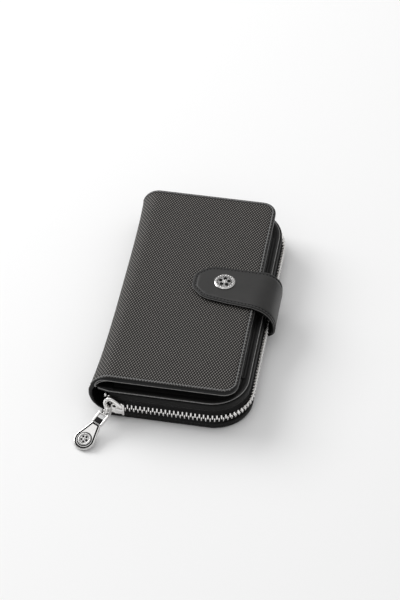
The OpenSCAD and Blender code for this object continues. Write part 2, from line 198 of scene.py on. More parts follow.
def panel(name, corners, thick, surface, materials, edge=0.7, step=4.0, cut=False, groove=None, relief=None,
          arc_steps=10, uv_start=0.0):
    """A panel with rounded edges. Corners are (s, y, radius) counter-clockwise, surface maps
    (s, y, height) to space. The materials are for the top, the edge and the underside. A groove has its
    inset, half its width, its depth and its material's place in the list."""
    half = thick / 2
    rim_index, under_index = min(1, len(materials) - 1), 2 if len(materials) > 2 else 0
    phis = [math.radians(a) for a in (0, 22.5, 45, 67.5, 90)]
    top = [(edge * (1 - math.cos(p)), half * math.sin(p)) for p in phis]
    bottom = [(d, -h) for d, h in top[1:]]
    painted = len(top) - 1
    if groove:
        at, wide, deep, groove_index = groove
        top += [(at - wide, half), (at - wide / 3, half - deep), (at + wide / 3, half - deep), (at + wide, half)]
    flat, faces, indices = [], [], []

    def add_ring(d, h):
        start = len(flat)
        pts = ring(corners, d, step, cut, arc_steps)
        flat.extend((p.x, p.y, h) for p in pts)
        return list(range(start, start + len(pts)))

    def strip(a, b, index):
        n = len(a)
        for i in range(n - 1 if cut else n):
            j = (i + 1) % n
            faces.append([a[i], a[j], b[j], b[i]])
            indices.append(index)

    def fill(last, h, index):
        boundary = [Vector(flat[i][:2]) for i in last]
        bridge = []
        if cut:
            a, b = boundary[-1], boundary[0]
            parts = max(1, round((b - a).length / step))
            bridge = [a.lerp(b, k / parts) for k in range(1, parts)]
        points, tris = fill_points(boundary + bridge, step)
        start = len(flat)
        flat.extend((p.x, p.y, h) for p in points[len(last):])
        ids = last + list(range(start, start + len(points) - len(last)))
        for t in tris:
            faces.append([ids[i] for i in t])
            indices.append(index)
        return ids[len(last):len(last) + len(bridge)]

    tops = [add_ring(d, h) for d, h in top]
    bottoms = [tops[0]] + [add_ring(d, h) for d, h in bottom]
    for k in range(len(tops) - 1):
        strip(tops[k], tops[k + 1], rim_index if k < painted else groove_index if k > painted else 0)
    for k in range(len(bottoms) - 1):
        strip(bottoms[k], bottoms[k + 1], rim_index)
    bridge_top = fill(tops[-1], top[-1][1], 0)
    bridge_bottom = fill(bottoms[-1], -half, under_index)
    if cut:
        cap = [r[0] for r in tops] + bridge_top[::-1] + [r[-1] for r in tops[::-1]]
        cap += [r[-1] for r in bottoms[1:]] + bridge_bottom + [r[0] for r in bottoms[:0:-1]]
        faces.append(cap)
        indices.append(0)
    verts = [surface(s, y, h + (relief(s, y) if relief else 0)) for s, y, h in flat]
    return make_object(name, verts, faces, materials, [(s + uv_start, y) for s, y, _ in flat], indices)


def quads(rows, n):
    """Faces between neighbouring closed rows of n points."""
    return [[k + i, k + (i + 1) % n, k + n + (i + 1) % n, k + n + i]
            for k in range(0, (rows - 1) * n, n) for i in range(n)]


def sweep(name, profile, frames, materials, inner=()):
    """A closed profile of (a, b) carried along frames of (origin, axis a, axis b). The profile's sides
    listed in inner take the second material."""
    n, verts, uvs = len(profile), [], []
    girth = [0.0]
    for p, q in zip(profile, profile[1:]):
        girth.append(girth[-1] + math.dist(p, q))
    along = 0.0
    for k, (o, a, b) in enumerate(frames):
        if k:
            along += (o - frames[k - 1][0]).length
        verts += [o + a * u + b * v for u, v in profile]
        uvs += [(along, u) for u in girth]
    count = len(verts)
    faces = quads(len(frames), n) + [list(range(n)), list(range(count - n, count))]
    indices = [1 if i in inner else 0 for i in range(n)] * (len(frames) - 1)
    return make_object(name, verts, faces, materials, uvs, indices + [0, 0])


def lathe(profile, at, steps=48):
    """Points and faces of a solid turned about the local Z axis; profile runs from axis to axis."""
    angles = [2 * math.pi * k / steps for k in range(steps)]
    verts = [at @ Vector((r * math.cos(a), r * math.sin(a), z)) for r, z in profile for a in angles]
    caps = [list(range(steps)), list(range(len(verts) - steps, len(verts)))]
    return verts, quads(len(profile), steps) + caps


def rounded_block(size, bevel, segments=2):
    """Points and faces of a block with rounded edges, centred on the origin."""
    bm = bmesh.new()
    bmesh.ops.create_cube(bm, size=1.0)
    bmesh.ops.scale(bm, vec=Vector(size), verts=bm.verts)
    bmesh.ops.bevel(bm, geom=bm.edges[:], offset=bevel, segments=segments, profile=0.5, affect="EDGES")
    verts = [v.co.copy() for v in bm.verts]
    faces = [[v.index for v in f.verts] for f in bm.faces]
    bm.free()
    return verts, faces


def moved(part, matrix):
    return [matrix @ v for v in part[0]], part[1]


def shift(x, y, z):
    return Matrix.Translation((x, y, z))


def block(size, bevel, at, segments=2):
    """A rounded block placed by a matrix."""
    return moved(rounded_block(size, bevel, segments), at)


def turned_ring(profile, at, steps=48):
    """Points and faces of an open ring turned about the local Z axis."""
    verts, faces = lathe(profile, at, steps)
    return verts, faces[:-2]


def copies(name, parts, material):
    """One object made of (verts, faces) pairs."""
    verts, faces = [], []
    for vs, fs in parts:
        start = len(verts)
        verts += vs
        faces += [[start + i for i in f] for f in fs]
    return make_object(name, verts, faces, [material])


def place(origin, along, out, up):
    """Matrix that puts local X, Y, Z along three directions at an origin."""
    m = Matrix((along, out, up)).transposed().to_4x4()
    m.translation = origin
    return m


# ---- materials
def new_material(name, roughness, metallic=0.0, specular=0.5):
    mat = bpy.data.materials.new(name)
    mat.use_nodes = True
    shader = mat.node_tree.nodes["Principled BSDF"]
    shader.inputs["Roughness"].default_value = roughness
    shader.inputs["Metallic"].default_value = metallic
    shader.inputs["Specular IOR Level"].default_value = specular
    return mat, mat.node_tree


def node(tree, kind, inputs=None, **settings):
    n = tree.nodes.new(kind)
    for key, value in settings.items():
        setattr(n, key, value)
    for key, value in (inputs or {}).items():
        if isinstance(value, bpy.types.NodeSocket):
            tree.links.new(value, n.inputs[key])
        else:
            n.inputs[key].default_value = value
    return n


def math_node(tree, operation, a, b=0.0):
    return node(tree, "ShaderNodeMath", {0: a, 1: b}, operation=operation).outputs[0]


def weighted(tree, a, share_a, b, share_b):
    """a * share_a + b * share_b"""
    parts = [math_node(tree, "MULTIPLY", value, share) for value, share in ((a, share_a), (b, share_b))]
    return math_node(tree, "ADD", *parts)


def spread(tree, value, low, high):
    """Maps a value of 0 to 1 onto low to high."""
    return node(tree, "ShaderNodeMapRange", {"Value": value, "To Min": low, "To Max": high}).outputs[0]


def ramp(tree, value, stops):
    n = node(tree, "ShaderNodeValToRGB", {"Fac": value})
    while len(n.color_ramp.elements) < len(stops):
        n.color_ramp.elements.new(0.5)
    for element, (at, colour) in zip(n.color_ramp.elements, stops):
        element.position = at
        element.color = (*colour, 1)
    return n.outputs["Color"]


def noise(tree, vector, scale, detail=3.0, rough=0.5, output="Fac"):
    return node(tree, "ShaderNodeTexNoise", {"Vector": vector, "Scale": scale, "Detail": detail,
                                             "Roughness": rough}).outputs[output]


def grey(v, warm=0.0):
    return (v * (1 + warm), v, v * (1 - warm))


def leather_mm(tree):
    """Place along the leather, in millimetres."""
    return node(tree, "ShaderNodeUVMap", uv_map="mm").outputs["UV"]


def object_place(tree):
    return node(tree, "ShaderNodeTexCoord").outputs["Object"]


def wired(mat, colour, relief, depth, strength, rough=None):
    """Gives a material its colour, its roughness and a relief whose depth is in metres."""
    tree = mat.node_tree
    bump = node(tree, "ShaderNodeBump", {"Height": relief, "Distance": depth, "Strength": strength})
    for value, socket in ((colour, "Base Color"), (rough, "Roughness"), (bump.outputs["Normal"], "Normal")):
        if value is not None:
            tree.links.new(value, tree.nodes["Principled BSDF"].inputs[socket])
    return mat


def woven_leather():
    """Embossed leather: staggered raised dots in diagonal rows, the dots painted lighter as painted highlights and the
    gaps between them darker as painted shade.
    """
    mat, tree = new_material("woven_emboss", 0.5, specular=0.22)
    uv = leather_mm(tree)
    warped = node(tree, "ShaderNodeVectorMath", {0: uv, 1: noise(tree, uv, 0.05, 2.0, output="Color")},
                  operation="ADD").outputs[0]
    split = node(tree, "ShaderNodeSeparateXYZ", {"Vector": warped})
    over, down = (math_node(tree, "MULTIPLY", split.outputs[axis], 2 * math.pi / pitch)
                  for axis, pitch in (("X", 1.98), ("Y", 3.16)))
    rows, breaks = (math_node(tree, "COSINE", math_node(tree, slant, over, down)) for slant in ("SUBTRACT", "ADD"))
    dots = weighted(tree, rows, 0.62, breaks, 0.38)
    raised = node(tree, "ShaderNodeMapRange", {"Value": dots, "From Min": 0.05, "From Max": 0.75}).outputs[0]
    grain = noise(tree, uv, 2.5, 4.0, 0.6)
    tone = weighted(tree, raised, 0.9, grain, 0.1)
    # Painted highlight and shade: the raised dots take the light grey, the hollows between them near black.
    colour = ramp(tree, tone, [(0.06, grey(0.002)), (0.45, grey(0.06, 0.05)), (0.95, grey(0.245, 0.065))])
    wear = math_node(tree, "MULTIPLY", noise(tree, uv, 0.02, 2.0), 0.12)
    worn = node(tree, "ShaderNodeMix", {"Factor": wear, 6: colour, 7: (0.035, 0.034, 0.032, 1)},
                data_type="RGBA").outputs[2]
    return wired(mat, worn, weighted(tree, raised, 1.0, grain, 0.35), 0.00028, 0.9, spread(tree, tone, 0.62, 0.42))


def smooth_leather(name, base, roughness=0.42, specular=0.4):
    """Plain leather with a fine pebbled grain and faint creases."""
    mat, tree = new_material(name, roughness, specular=specular)
    uv = leather_mm(tree)
    cells = node(tree, "ShaderNodeTexVoronoi", {"Vector": uv, "Scale": 1.3}, feature="F1").outputs["Distance"]
    fine = noise(tree, uv, 3.0, 4.0, 0.6)
    tone = weighted(tree, noise(tree, uv, 0.06), 0.7, fine, 0.3)
    colour = ramp(tree, tone, [(0.25, grey(base * 0.75, 0.02)), (0.75, grey(base * 1.3, 0.03))])
    return wired(mat, colour, weighted(tree, cells, 0.6, fine, 0.6), 0.00006, 0.6,
                 spread(tree, tone, roughness + 0.08, roughness - 0.05))


def edge_paint(name, base):
    mat, tree = new_material(name, 0.4, specular=0.22)
    wear = noise(tree, object_place(tree), 900.0, 4.0, 0.6)
    colour = ramp(tree, wear, [(0.3, grey(base * 0.7)), (0.8, grey(base * 1.5, 0.02))])
    return wired(mat, colour, wear, 0.00005, 0.5)


def woven_cloth(name, base, pitch):
    """Twill weave for tapes and linings, its pitch in millimetres."""
    mat, tree = new_material(name, 0.85, specular=0.15)
    at = object_place(tree)
    split = node(tree, "ShaderNodeSeparateXYZ", {"Vector": at})
    flat = math_node(tree, "ADD", split.outputs["X"], split.outputs["Y"])
    slant = math_node(tree, "ADD", math_node(tree, "MULTIPLY", flat, 0.5), split.outputs["Z"])
    plain, twill = (math_node(tree, "SINE", math_node(tree, "MULTIPLY", way, 2 * math.pi / (pitch * MM)))
                    for way in (flat, slant))
    tone = weighted(tree, weighted(tree, plain, 0.4, twill, 0.6), 0.3, noise(tree, at, 2500.0, 2.0), 1.0)
    colour = ramp(tree, tone, [(0.2, grey(base * 0.5)), (0.8, grey(base * 1.6))])
    return wired(mat, colour, tone, 0.00012, 0.7)


def plated_metal(name, base, roughness):
    """Polished nickel with faint scratches."""
    mat, tree = new_material(name, roughness, 1.0)
    marks = noise(tree, object_place(tree), 700.0, 5.0, 0.7)
    colour = ramp(tree, marks, [(0.3, grey(base * 0.9, 0.01)), (0.7, grey(base, 0.015))])
    return wired(mat, colour, marks, 0.000004, 0.2, spread(tree, marks, roughness * 0.6, roughness * 1.6))


def thread(name, base):
    mat, tree = new_material(name, 0.6, specular=0.3)
    twist = node(tree, "ShaderNodeTexWave", {"Vector": object_place(tree), "Scale": 1500.0, "Distortion": 2.0},
                 bands_direction="DIAGONAL").outputs["Fac"]
    colour = ramp(tree, twist, [(0.0, grey(base * 0.6)), (1.0, grey(base * 1.3))])
    return wired(mat, colour, twist, 0.00005, 0.6)


WOVEN = woven_leather()
SMOOTH = smooth_leather("smooth_leather", 0.01)
STRAP = smooth_leather("strap_leather", 0.021, 0.4)
INNER = smooth_leather("inner_leather", 0.004, 0.55, specular=0.2)
PAINT = edge_paint("edge_paint", 0.006)
# Light grey beads laid along edges: painted highlights where the painted edges catch the light.
PAINTED_HIGHLIGHT = edge_paint("edge_painted_highlight", 0.26)
STRAP_PAINTED_HIGHLIGHT = edge_paint("strap_painted_highlight", 0.1)
TAPE = woven_cloth("zip_tape", 0.01, 0.8)
CLOTH = woven_cloth("lining_cloth", 0.012, 0.5)
BOARD = woven_cloth("board_fibre", 0.03, 1.2)
METAL = plated_metal("bright_nickel", 0.7, 0.14)
POLISHED = plated_metal("polished_nickel", 0.95, 0.1)
# Darker nickel for the rosettes' field and rim: painted dark reflections.
DARK_REFLECTION = plated_metal("dark_reflection_nickel", 0.48, 0.25)
# Near-black metal laid in holes, grooves, hollows and under the link: painted shade.
PAINTED_SHADE = plated_metal("pierced_shadow", 0.015, 0.5)
GREY_THREAD = thread("grey_thread", 0.2)
BLACK_THREAD = thread("black_thread", 0.014)
STRAP_THREAD = thread("strap_thread", 0.06)


# ---- bent sheets of leather
def section(*parts):
    """Middle line of a bent sheet in the X-Z plane, from lines ("line", x, z) and arcs
    ("arc", centre x, centre z, radius, from, to) in degrees. Returns the surface and its length."""
    pts = []
    for part in parts:
        if part[0] == "line":
            end = Vector(part[1:3])
            start = pts[-1] if pts else end
            n = max(1, int((end - start).length / 0.5))
            pts += [start.lerp(end, k / n) for k in range(1, n + 1)]
        else:
            cx, cz, r, a0, a1 = part[1:]
            n = max(8, int(abs(a1 - a0) / 2))
            angles = [math.radians(a0 + (a1 - a0) * k / n) for k in range(n + 1)]
            pts += [Vector((cx + r * math.cos(a), cz + r * math.sin(a))) for a in angles]
    line = pts[:1] + [q for p, q in zip(pts, pts[1:]) if (q - p).length > 1e-6]
    at = [0.0]
    for a, b in zip(line, line[1:]):
        at.append(at[-1] + (b - a).length)
    tangents = [(line[min(i + 1, len(line) - 1)] - line[max(i - 1, 0)]).normalized() for i in range(len(line))]

    def surface(s, y, h):
        s = min(max(s, 0.0), at[-1])
        i = min(max(bisect.bisect_right(at, s) - 1, 0), len(at) - 2)
        f = (s - at[i]) / (at[i + 1] - at[i])
        p = line[i].lerp(line[i + 1], f)
        t = tangents[i].lerp(tangents[i + 1], f).normalized()
        return swell(Vector((p.x - t.y * h, y, p.y + t.x * h)))

    return surface, at[-1]


def flat_sheet(low, high, side=1):
    """The surface of a flat sheet between two heights, its face up or down."""
    return lambda s, y, h: Vector((s, y, (high.z + low.z) / 2 + side * h))


def swell(v):
    """The spine bows outward towards the wallet's two ends."""
    height = min(max(v.z / cover_high.z, 0), 1)
    near = min(max((BEND_X + 1 - v.x) / 6, 0), 1)
    most = SWELL_FRONT if v.y < 0 else SWELL_REAR
    out = most * (abs(v.y) / HALF_LEN) ** 3 * math.sin(math.pi * height) ** 1.6 * near * near * (3 - 2 * near)
    return Vector((v.x - out, v.y, v.z))


def stitches(name, path, material, pitch, size):
    """Thread stitches along a path of (origin, outward, up); a path's up is the leather's face."""
    stitch = rounded_block(size, 0.18)
    parts, carried = [], pitch / 2
    for (a, out, up), (b, _, _) in zip(path, path[1:]):
        span = (b - a).length
        while carried < span:
            parts.append(moved(stitch, place(a.lerp(b, carried / span), (b - a).normalized(), out, up)))
            carried += pitch
        carried -= span
    return copies(name, parts, material)


def edge_path(corners, inset, surface, height, step=1.5, cut=False):
    """Frames along an outline at an inset: origin, outward direction and the surface's normal."""
    line = ring(corners, inset, step, cut)
    line = [p for p, q in zip(line, line[1:] + [line[0] + Vector((9, 9))]) if (q - p).length > 0.05]
    if not cut:
        line.append(line[0])
    path = []
    for i, p in enumerate(line):
        before = line[i - 1] if i else (p if cut else line[-2])
        after = line[i + 1] if i + 1 < len(line) else (p if cut else line[1])
        along = (after - before).normalized()
        out = Vector((along.y, -along.x))
        o = surface(p.x, p.y, height)
        up = (surface(p.x, p.y, height + 0.2) - o).normalized()
        side = (o - surface(p.x - out.x * 0.2, p.y - out.y * 0.2, height)).normalized()
        path.append((o, side, up))
    return path


def smooth_line(points, parts):
    """Points of a smooth curve through the given (x, y) points."""
    pts = [Vector(p) for p in points]
    pts = [2 * pts[0] - pts[1]] + pts + [2 * pts[-1] - pts[-2]]
    line = []
    for p0, p1, p2, p3 in zip(pts, pts[1:], pts[2:], pts[3:]):
        for k in range(parts):
            t = k / parts
            line.append(0.5 * (2 * p1 + (p2 - p0) * t + (2 * p0 - 5 * p1 + 4 * p2 - p3) * t ** 2
                               + (3 * p1 - p0 - 3 * p2 + p3) * t ** 3))
    return line + [pts[-2]]


def arc(ra, rb, degrees):
    return [(ra * math.cos(math.radians(a)), rb * math.sin(math.radians(a))) for a in degrees]


def ellipse(ra, rb, steps):
    return arc(ra, rb, [360 * k / steps for k in range(steps)])


def dress(piece, slot, *nodes):
    """Hides the CAD nodes that the piece stands for. The slot is not used."""
    if nodes:
        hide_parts(*nodes)
    return piece


def fit(body, slot, piece, *nodes):
    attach(dress(piece, slot, *nodes), body)


def metal(body, name, parts, material, *nodes):
    fit(body, "plated_metal", copies(name, parts, material), *nodes)


def across(piece, first, second, start, end):
    Vector(start) * MM
    Vector(end) * MM
    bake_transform(piece)


# ---- outer leather: back, spine and cover
WALL_X = BEND_X - SKIN_R
TOP_BEND_Z = cover_high.z - SPINE_R
CUT_LOW, CUT_HIGH = TOP_BEND_Z - 4.5, TOP_BEND_Z - 0.5
FOLDS = {
    "lower": ("back", "zip_front", (BEND_X, 0, LEATHER / 2), (WALL_X, 0, SPINE_R)),
    "wall": ("zip_front", "spine_fold", (WALL_X, 0, CUT_LOW + 0.5), (WALL_X, 0, CUT_HIGH - 0.5)),
    "upper": ("spine_fold", "cover", (WALL_X, 0, TOP_BEND_Z), (BEND_X, 0, COVER_Z)),
}

back_surface, back_len = section(
    ("line", back_high.x, LEATHER / 2), ("line", BEND_X, LEATHER / 2),
    ("arc", BEND_X, SPINE_R, SKIN_R, 270, 180), ("line", WALL_X, CUT_LOW))
wall_surface, wall_len = section(("line", WALL_X, CUT_LOW), ("line", WALL_X, CUT_HIGH))
cover_surface, cover_len = section(
    ("line", WALL_X, CUT_HIGH), ("arc", BEND_X, TOP_BEND_Z, SKIN_R, 180, 90),
    ("line", cover_high.x, COVER_Z))


def cover_relief(s, y):
    """The cover is a little crowned and waves by a fraction of a millimetre."""
    rim = min(HALF_LEN - abs(y), cover_len - s)
    return 0.35 * (1 - math.exp(-max(rim - 3.5, 0) / 10)) + 0.12 * math.sin(s / 19) * math.sin(y / 27)


def lip_sweep(name, path, sizes):
    """A painted lip that covers the edges of a sheet and its backing: sizes go from 0.5, the sheet
    alone, to 1, with its backing."""
    frames = []
    for k, (o, out, up) in enumerate(path):
        size = sizes[0] + (sizes[1] - sizes[0]) * k / (len(path) - 1)
        frames.append((o - up * (size - 0.5) * 1.9, out, up * size))
    return sweep(name, ellipse(0.85, 1.75, 14), frames, [PAINT])


def end_path(surface, stations, side, y):
    """Frames round a bent sheet at one of its ends, y from the wallet's middle."""
    return [(surface(s, side * y, 0), Vector((0, side, 0)),
             surface(s, side * HALF_LEN, 1) - surface(s, side * HALF_LEN, 0)) for s in stations]


def end_name(name, side):
    return f"{name}_{'front' if side < 0 else 'rear'}"


cover_corners = [(0, -HALF_LEN, 0), (cover_len, -HALF_LEN, 10), (cover_len, HALF_LEN, 10), (0, HALF_LEN, 0)]
back_corners = [(back_len, HALF_LEN, 0), (0, back_high.y, PANEL_R), (0, -back_high.y, PANEL_R),
                (back_len, -HALF_LEN, 0)]
for name, corners, surface, relief, uv_start, seam_rise, fold, nodes in (
        ("cover", cover_corners, cover_surface, cover_relief, back_len + wall_len, 0.05, "upper",
         ("front_cover", "spine_fold")),
        ("back", back_corners, back_surface, None, 0.0, -0.2, "lower", ("back_cover", "spine_wall"))):
    pieces = [
        panel(f"{name}_leather", corners, LEATHER, surface, [WOVEN, PAINT, INNER], edge=0.8, step=2.5, cut=True,
              groove=(1.9, 0.6, 0.25, 1), relief=relief, uv_start=uv_start),
        stitches(f"{name}_stitches", edge_path(corners, 1.7, surface, LEATHER / 2 + seam_rise, cut=True),
                 GREY_THREAD, 2.1, (1.8, 0.75, 0.5))]
    if name == "cover":
        pieces += [
            lip_sweep("cover_lip", edge_path(corners, 0.5, surface, 0, cut=True), (1, 1)),
            # Light grey bead under the lip: painted highlight along the cover's edge.
            sweep("cover_welt", ellipse(0.34, 0.3, 10), edge_path(corners, 0.0, surface, -2.3, cut=True), [PAINTED_HIGHLIGHT])]
    for piece in pieces:
        across(dress(piece, "woven_leather", *(nodes if piece is pieces[0] else ())), *FOLDS[fold])

STRIP_ROWS, STRIP_PARTS = 12, 60
strip_y = [-HALF_LEN + k * 2 * HALF_LEN / STRIP_PARTS for k in range(STRIP_PARTS + 1)]
strip_profile = [(y, LEATHER / 2) for y in strip_y] + [(y, -LEATHER / 2) for y in strip_y[::-1]]
strip_frames = [(Vector((WALL_X, 0, CUT_LOW + (CUT_HIGH - CUT_LOW) * k / STRIP_ROWS)), Vector((0, 1, 0)),
                 Vector((-1, 0, 0))) for k in range(STRIP_ROWS + 1)]
strip = sweep("spine_strip", strip_profile, strip_frames, [WOVEN, INNER],
              inner=range(STRIP_PARTS + 1, 2 * STRIP_PARTS + 1))
for v in strip.data.vertices:
    v.co = swell(v.co / MM) * MM
for loop in strip.data.loops:
    at = strip.data.vertices[loop.vertex_index].co / MM
    strip.data.uv_layers["mm"].data[loop.index].uv = (back_len + at.z - CUT_LOW, at.y)
across(dress(strip, "woven_leather"), *FOLDS["wall"])

PARTS = 24  # rows of points along a bend's lips and linings
for side in (-1, 1):
    for fold, surface, first, last, sizes in (("wall", wall_surface, 0, wall_len, (0.78, 1)),
                                              ("lower", back_surface, back_len - 24, back_len, (0.5, 0.78))):
        stations = [first + (last - first) * k / PARTS for k in range(PARTS + 1)]
        lip = lip_sweep(end_name(f"{fold}_lip", side), end_path(surface, stations, side, HALF_LEN - 0.5), sizes)
        across(dress(lip, "woven_leather"), *FOLDS[fold])

# ---- lining that turns inside the spine
FOLD_T = 0.9
fold_low, _ = box_mm("fold_lining_lower")
_, fold_top = box_mm("fold_lining_upper")
FOLD_MID = (fold_low.z + fold_top.z) / 2
FOLD_R = (fold_top.z - fold_low.z) / 2 - FOLD_T / 2
FOLD_X = wall_low.x + LEATHER + FOLD_R + 0.8
lower_fold, lower_len = section(("line", BEND_X + 2, FOLD_MID - FOLD_R), ("line", FOLD_X, FOLD_MID - FOLD_R),
                                ("arc", FOLD_X, FOLD_MID, FOLD_R, 270, 180))
upper_fold, upper_len = section(("arc", FOLD_X, FOLD_MID, FOLD_R, 180, 90),
                                ("line", BEND_X + 2, FOLD_MID + FOLD_R))
fold_parts = [-HALF_LEN + 0.4 + k * (2 * HALF_LEN - 0.8) / 40 for k in range(41)]
for name, surface, length, fold, start, end in (
        ("fold_lining_lower", lower_fold, lower_len, "wall", fold_low.z, FOLD_MID),
        ("fold_lining_upper", upper_fold, upper_len, "upper", FOLD_MID, fold_top.z)):
    stations = [length * k / PARTS for k in range(PARTS + 1)]
    loop = [(y, FOLD_T / 2) for y in fold_parts] + [(HALF_LEN, 0)]
    loop += [(y, -FOLD_T / 2) for y in fold_parts[::-1]] + [(-HALF_LEN, 0)]
    n = len(loop)
    verts = [surface(s, y, h) for s in stations for y, h in loop]
    uvs = [(s, y) for s in stations for y, _ in loop]
    indices = [1 if i % (n // 2) >= n // 2 - 2 else 0 for i in range(n)] * PARTS
    sheet = make_object(f"{name}_sheet", verts, quads(PARTS + 1, n), [INNER, PAINT], uvs, indices)
    pieces = [dress(sheet, "smooth_leather", name)]
    for side in (-1, 1):
        path = end_path(surface, stations if "upper" in name else stations[-9:], side, HALF_LEN + 0.1)
        # Light grey beads along the lining's ends: painted highlights on its edges.
        painted_highlight = sweep(end_name(f"{name}_welt", side), ellipse(0.36, 0.34, 10), path, [PAINTED_HIGHLIGHT])
        pieces.append(dress(painted_highlight, "smooth_leather"))
    for piece in pieces:
        across(piece, *FOLDS[fold][:2], (FOLD_X, 0, start), (FOLD_X, 0, end))

# ---- inner panels
PANEL_LEFT, PANEL_T = panel_low.x, panel_high.z - panel_low.z
panel_corners = [(PANEL_LEFT, HALF_LEN, 0), (PANEL_LEFT, -HALF_LEN, 0), (BEND_X, -panel_high.y, 4),
                 (panel_high.x, -panel_high.y, PANEL_R), (panel_high.x, panel_high.y, PANEL_R),
                 (BEND_X, panel_high.y, 4)]
rim_corners = panel_corners[1:] + panel_corners[:1]
panel_mid = flat_sheet(panel_low, panel_high)
RIM = box_mm("panel_border")[1].z - panel_high.z
rim_profile = [(1.3, -0.4), (1.3, RIM - 0.2), (1.0, RIM), (-0.9, RIM), (-1.3, RIM - 0.2), (-1.3, -0.3)]
pieces = [
    panel("mid_panel_leather", panel_corners, PANEL_T, panel_mid, [SMOOTH, PAINT], edge=0.6, groove=(5.2, 0.5, 0.2, 0)),
    sweep("mid_panel_rim", rim_profile, edge_path(rim_corners, 1.5, panel_mid, PANEL_T / 2), [SMOOTH]),
    # Light grey bead along the rim's outer edge: painted highlight.
    sweep("mid_panel_painted_highlight", ellipse(0.36, 0.3, 10), edge_path(rim_corners, 0.2, panel_mid, PANEL_T / 2 + 0.1), [PAINTED_HIGHLIGHT]),
    stitches("mid_panel_stitches", edge_path(panel_corners, 1.6, panel_mid, PANEL_T / 2 + RIM - 0.1), BLACK_THREAD,
             2.6, (1.9, 0.5, 0.4))]
for piece in pieces:
    fit("zip_front", "smooth_leather", piece, *(("mid_panel", "panel_border") if piece is pieces[0] else ()))

slot_rows = [("mid_slip_pocket", "zip_front")]
for start, body in (("mid_card_slot", "zip_front"), ("cover_card_slot", "cover")):
    slot_rows += [(n, body) for n in frame["nodes"] if n.startswith(start)]
for node_name, body in slot_rows:
    low, high = box_mm(node_name)
    ys = [v.co.y / MM for v in frame["nodes"][node_name].data.vertices]
    inner_y = min(abs(y) for y in ys)
    spans = [(low.y, high.y)] if node_name == "mid_slip_pocket" else [(low.y, -inner_y), (inner_y, high.y)]
    surface = flat_sheet(low, high, 1 if body == "zip_front" else -1)
    for side, (y0, y1) in enumerate(spans):
        outline = [(low.x, y0, 1), (high.x, y0, 1), (high.x, y1, 1), (low.x, y1, 1)]
        sheet = panel(f"{node_name}_{side}", outline, high.z - low.z, surface, [SMOOTH, PAINT], edge=0.3, step=8,
                      groove=(1.8, 0.35, 0.12, 0), arc_steps=3)
        fit(body, "smooth_leather", sheet, node_name)
        row = edge_path(outline, 1.8, surface, (high.z - low.z) / 2 - 0.05, step=20)
        seam = stitches(f"{node_name}_seam_{side}", row, BLACK_THREAD, 2.9, (2.1, 0.4, 0.25))
        fit(body, "smooth_leather", seam)

LINING_X, LINING_Y = cover_high.x - 0.3, HALF_LEN - 0.3
lining_corners = [(BEND_X, LINING_Y, 0), (BEND_X, -LINING_Y, 0), (LINING_X, -LINING_Y, 10), (LINING_X, LINING_Y, 10)]
cover_lining = panel("cover_lining_leather", lining_corners, lining_high.z - lining_low.z,
                     flat_sheet(lining_low, lining_high, -1), [INNER, PAINT], edge=0.5, groove=(2.9, 0.5, 0.15, 0))
fit("cover", "smooth_leather", cover_lining, "cover_lining")

# ---- zip round three sides
ZIP_SIDE = ZIP_X - ZIP_R - ZIP_START
ZIP_TURN = ZIP_R * math.pi / 2
ZIP_LONG = 2 * (ZIP_Y - ZIP_R)
ZIP_LEN = 2 * ZIP_SIDE + 2 * ZIP_TURN + ZIP_LONG


def zip_at(s):
    """Point and outward direction at a distance along the zip, from its front end."""
    if s < ZIP_SIDE:
        return Vector((ZIP_START + s, -ZIP_Y, 0)), Vector((0, -1, 0))
    if s > ZIP_LEN - ZIP_SIDE:
        return Vector((ZIP_START + ZIP_LEN - s, ZIP_Y, 0)), Vector((0, 1, 0))
    s -= ZIP_SIDE
    if ZIP_TURN <= s <= ZIP_TURN + ZIP_LONG:
        return Vector((ZIP_X, s - ZIP_TURN - ZIP_LONG / 2, 0)), Vector((1, 0, 0))
    front = s < ZIP_TURN
    a = s / ZIP_R - math.pi / 2 if front else (s - ZIP_TURN - ZIP_LONG) / ZIP_R
    out = Vector((math.cos(a), math.sin(a), 0))
    return Vector((ZIP_X - ZIP_R, (-1 if front else 1) * (ZIP_Y - ZIP_R), 0)) + out * ZIP_R, out


UP = Vector((0, 0, 1))
LEAN_IN = 0.25  # each tooth's slope from the middle of the zip back to its tape
ZIP_STEPS = 160
zip_path = [(*zip_at(ZIP_LEN * k / ZIP_STEPS), UP) for k in range(ZIP_STEPS + 1)]
tape_ends = [(zip_path[k][0] - Vector((1.7, 0, 0)), *zip_path[k][1:]) for k in (0, -1)]
tape_path = [tape_ends[0], *zip_path, tape_ends[1]]
tape_profile = [(-0.5, 11.4), (0.0, 11.4), (0.0, 13.3), (0.3, 13.7), (0.4, 14.2), (0.3, 14.7), (-0.1, 15.1),
                (-0.1, 19.2), (-0.5, 19.2)]
tooth = rounded_block((1.05, TOOTH_DEPTH + 0.4, 3.4), 0.4, 3)
crest = rounded_block((1.3, 1.5, 1.1), 0.4)
